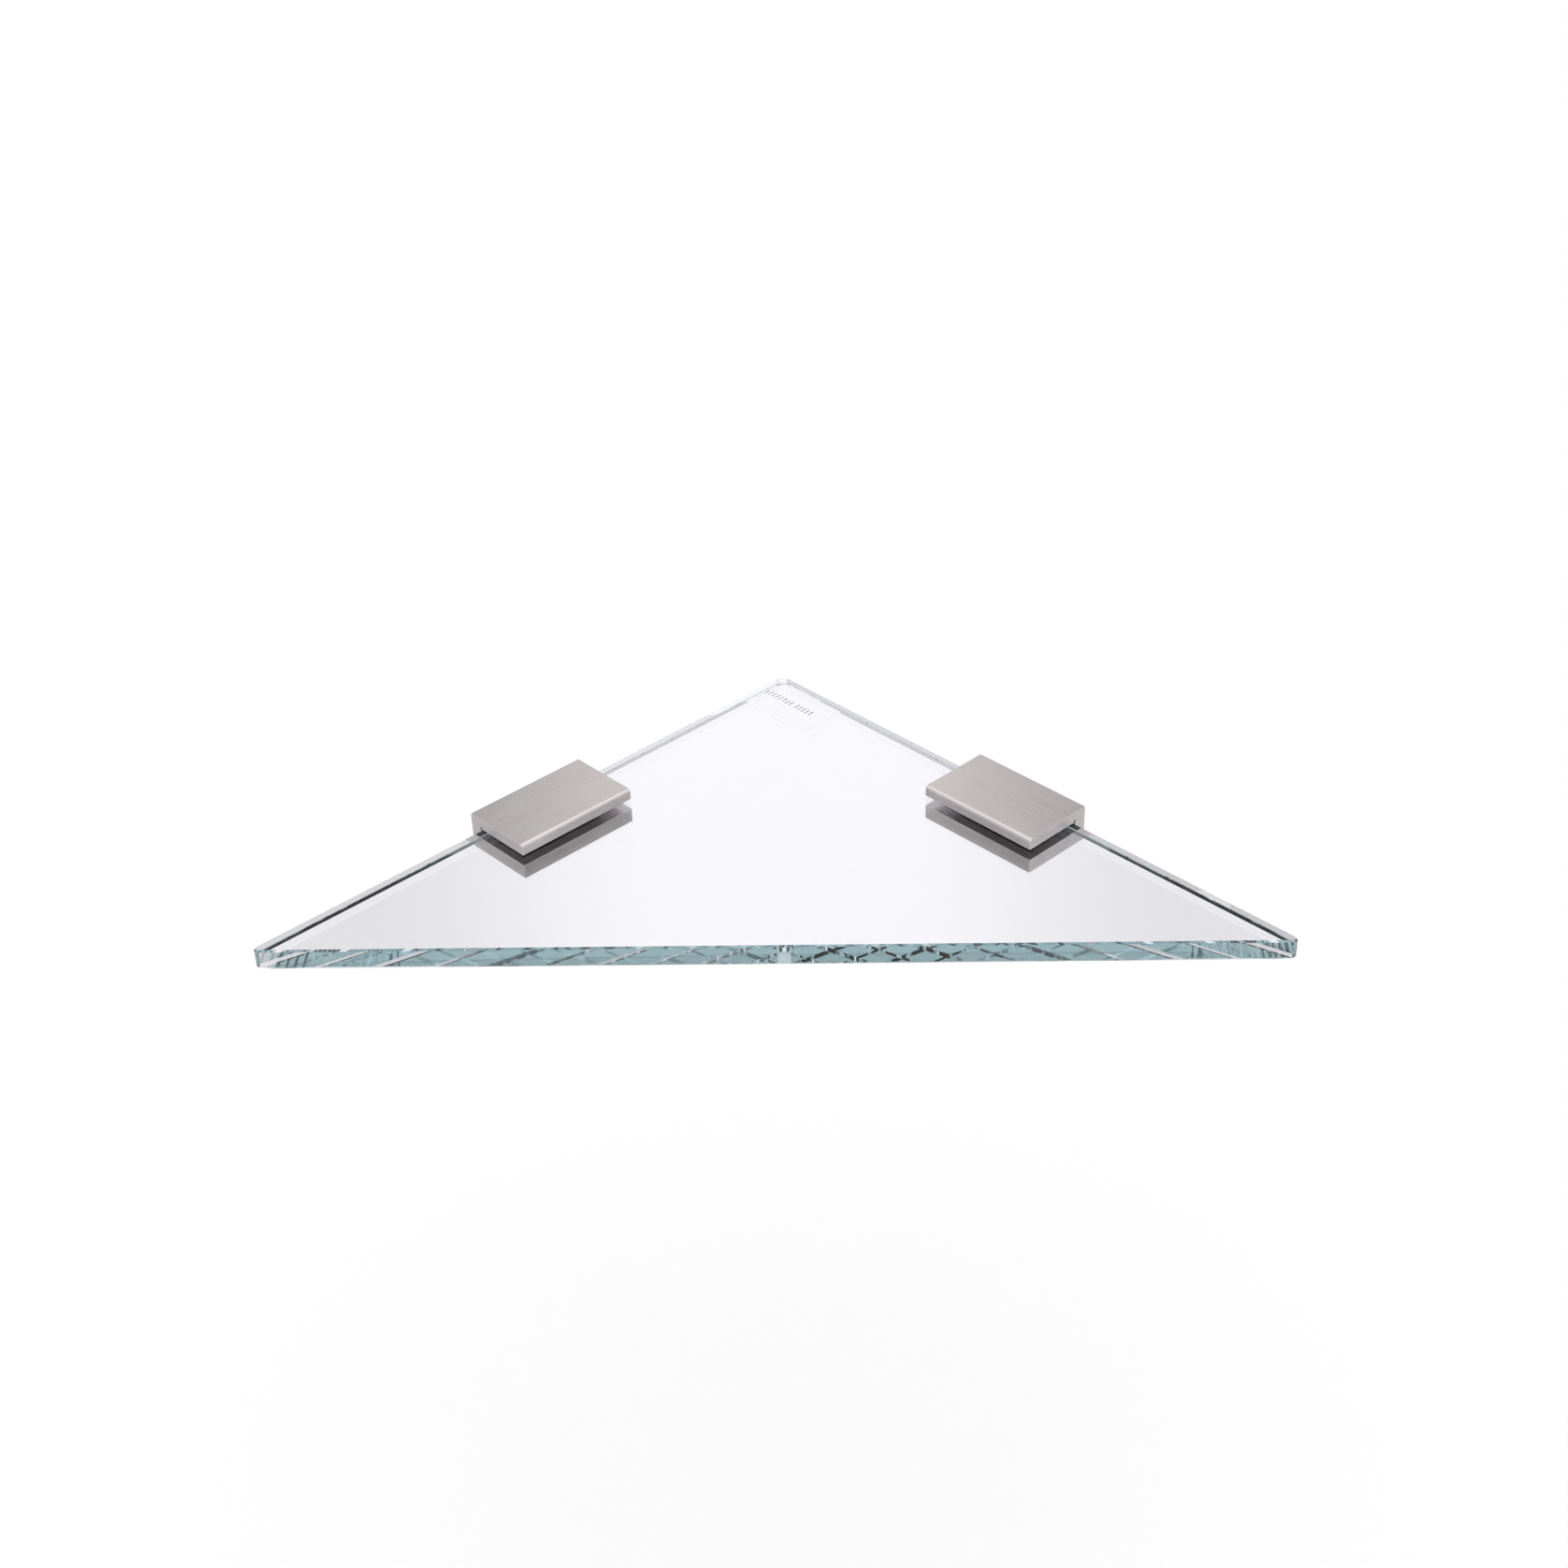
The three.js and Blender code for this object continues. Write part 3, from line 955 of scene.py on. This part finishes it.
hook_plate = add_block(
    "hook_plate",
    (-plate_half_length, -plate_thickness, plate_bottom),
    (plate_half_length, 0, plate_top),
)
edit_select(
    hook_plate, "vertices",
    lambda point: point.co.z > plate_middle and point.co.y > -plate_thickness / 2,
)
bpy.ops.transform.translate(value=(0, 0, -plate_undercut))
bpy.ops.object.mode_set(mode="OBJECT")
sink_depth = plate_sink_radius - plate_hole_radius
for hole_x in (-plate_hole_spacing / 2, plate_hole_spacing / 2):
    hole_cutter = turned_piece("hole_cutter", [
        (plate_hole_radius, -reach_past),
        (plate_hole_radius, plate_thickness - sink_depth),
        (plate_sink_radius + sink_overcut, plate_thickness + sink_overcut),
        (plate_sink_radius + sink_overcut, plate_thickness + reach_past),
    ])
    hole_cutter.rotation_euler.x = math.radians(90)
    move_piece(hole_cutter, hole_x, 0, plate_middle)
    cut_away(hook_plate, hole_cutter)
outward_faces(hook_plate)
soften_edges(hook_plate, plate_edge)


def zinc_plating():
    """Bright zinc on steel: pale blue-grey, faintly clouded and spangled."""
    material, nodes, links, shader = start_material("zinc_plating")
    shader.inputs["Metallic"].default_value = 1.0
    dull = (0.43, 0.44, 0.45)
    bright = (0.62, 0.63, 0.64)
    clouds = object_noise(nodes, links, scale=240, detail=5)
    colour = shades_between(nodes, links, clouds, 0.3, dull, 0.7, bright)
    links.new(colour, shader.inputs["Base Color"])
    links.new(spread(nodes, links, clouds, 0, 1, 0.32, 0.52), shader.inputs["Roughness"])
    coordinates = nodes.new("ShaderNodeTexCoord")
    spangle = nodes.new("ShaderNodeTexVoronoi")
    spangle.inputs["Scale"].default_value = 420
    links.new(coordinates.outputs["Object"], spangle.inputs["Vector"])
    add_bump(nodes, links, shader, spangle.outputs["Distance"], strength=0.1, depth=0.03 * MM)
    return material


hook_plate.data.materials.append(zinc_plating())
for side in clamp_turns:
    plate = side_copy(hook_plate, f"hook_plate_{side}", side)
    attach(plate, "clamps")
    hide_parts(f"wall_plate_{side}")
bpy.data.objects.remove(hook_plate)

# ------------------------------------------------------------------------------------------
# The set screws: threaded steel with a hexagon socket, blackened. A small one under each
# wall plate locks the clamp on it, and two larger ones press each jaw's pads on the glass.
# ------------------------------------------------------------------------------------------

screw_inset = 0.4 * MM
socket_depth = 2 * MM
socket_lead = 0.1 * MM
thread_smooth_below = math.radians(28)


def socket_set_screw(name, radius, pitch, top, across_flats):
    """A set screw that stands on its socket end, with a ring for each turn of its thread."""
    bottom = clamp_bottom + screw_inset
    thread_depth = 0.5 * pitch
    crest_end = 0.25 * pitch
    root_start = 0.55 * pitch
    root_end = 0.7 * pitch
    plain_tip = 1.6 * pitch
    chamfer = 0.8 * thread_depth
    steps = [(radius - chamfer, bottom), (radius, bottom + chamfer)]
    height = bottom + chamfer
    while height + plain_tip < top:
        steps += [
            (radius, height + crest_end),
            (radius - thread_depth, height + root_start),
            (radius - thread_depth, height + root_end),
            (radius, height + pitch),
        ]
        height += pitch
    steps += [(radius, top - thread_depth), (radius - thread_depth, top)]
    screw = turned_piece(name, steps)
    socket_radius = across_flats / math.sqrt(3)
    deselect_objects()
    bpy.ops.mesh.primitive_cylinder_add(
        vertices=6, radius=socket_radius, depth=socket_depth + reach_past,
        location=(0, 0, bottom + (socket_depth - reach_past) / 2),
    )
    socket_cutter = bpy.context.object
    bpy.ops.object.transform_apply(location=True, rotation=True, scale=True)
    cut_away(screw, socket_cutter)
    mouth_radius = socket_radius + socket_lead
    mouth_cutter = turned_piece("mouth_cutter", [
        (mouth_radius, bottom - reach_past),
        (mouth_radius, bottom),
        (across_flats / 2, bottom + mouth_radius - across_flats / 2),
    ])
    cut_away(screw, mouth_cutter)
    outward_faces(screw)
    make_active(screw)
    bpy.ops.object.shade_smooth_by_angle(angle=thread_smooth_below)
    return screw


def black_oxide():
    """Blackened steel: near black, with an uneven oily shine."""
    material, nodes, links, shader = start_material("black_oxide")
    shader.inputs["Metallic"].default_value = 1.0
    dry = (0.035, 0.034, 0.036)
    oiled = (0.11, 0.105, 0.10)
    oil = object_noise(nodes, links, scale=900, detail=4)
    colour = shades_between(nodes, links, oil, 0.35, dry, 0.75, oiled)
    links.new(colour, shader.inputs["Base Color"])
    links.new(spread(nodes, links, oil, 0, 1, 0.25, 0.5), shader.inputs["Roughness"])
    return material


oxide = black_oxide()
lock_screw = socket_set_screw(
    "lock_screw", lock_screw_radius, pitch=0.5 * MM, top=plate_bottom, across_flats=1.5 * MM
)
lock_screw.data.materials.append(oxide)
move_piece(lock_screw, 0, lock_screw_y, 0)
for side in clamp_turns:
    small_screw = side_copy(lock_screw, f"small_set_screw_{side}", side)
    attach(small_screw, f"lock_{side}")
    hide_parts(f"lock_screw_{side}")
bpy.data.objects.remove(lock_screw)

screw_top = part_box("clamp_screw_right_inner")[1][2]
screw_xs = {
    ("left", "inner"): clamp_screw_spacing / 2,
    ("left", "outer"): -clamp_screw_spacing / 2,
    ("right", "inner"): -clamp_screw_spacing / 2,
    ("right", "outer"): clamp_screw_spacing / 2,
}


def screw_bore_copy(piece, name, side, screw_x):
    """A copy of a piece made on the Z axis, put in place in one of a clamp's screw bores."""
    seated = piece.copy()
    seated.data = piece.data.copy()
    bpy.context.scene.collection.objects.link(seated)
    move_piece(seated, screw_x, clamp_screw_y, 0)
    copy = side_copy(seated, name, side)
    bpy.data.objects.remove(seated)
    return copy


clamp_screw = socket_set_screw(
    "clamp_screw", clamp_screw_radius, pitch=0.8 * MM, top=screw_top, across_flats=2.5 * MM
)
clamp_screw.data.materials.append(oxide)
for (side, place), screw_x in screw_xs.items():
    large_screw = screw_bore_copy(clamp_screw, f"large_set_screw_{side}_{place}", side, screw_x)
    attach(large_screw, f"screw_{side}_{place}")
    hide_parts(f"clamp_screw_{side}_{place}")
bpy.data.objects.remove(clamp_screw)

# ------------------------------------------------------------------------------------------
# The pressure pads: round black rubber discs on the tips of the clamp screws. They sit in
# their counterbores in the lower jaw and press the glass up against the upper pad.
# ------------------------------------------------------------------------------------------

disc_edge = 0.2 * MM
dimple_rim_radius = 1.575 * MM
dimple_radius = 1.35 * MM
disc_bottom = press_pad_low[2]
disc_top = press_pad_high[2] - hair_of_air
press_disc = turned_piece("press_disc", [
    (press_pad_radius - disc_edge, disc_bottom),
    (press_pad_radius, disc_bottom + disc_edge),
    (press_pad_radius, disc_top - 2 * disc_edge),
    (press_pad_radius - disc_edge / 2, disc_top - disc_edge / 2),
    (press_pad_radius - 2 * disc_edge, disc_top),
    (dimple_rim_radius, disc_top),
    (dimple_radius, disc_top - disc_edge),
])
press_disc.data.materials.append(rubber)
make_active(press_disc)
bpy.ops.object.shade_smooth_by_angle(angle=smooth_below)
for (side, place), screw_x in screw_xs.items():
    disc = screw_bore_copy(press_disc, f"press_disc_{side}_{place}", side, screw_x)
    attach(disc, f"press_{side}_{place}")
    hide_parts(f"pressure_pad_{side}_{place}")
bpy.data.objects.remove(press_disc)
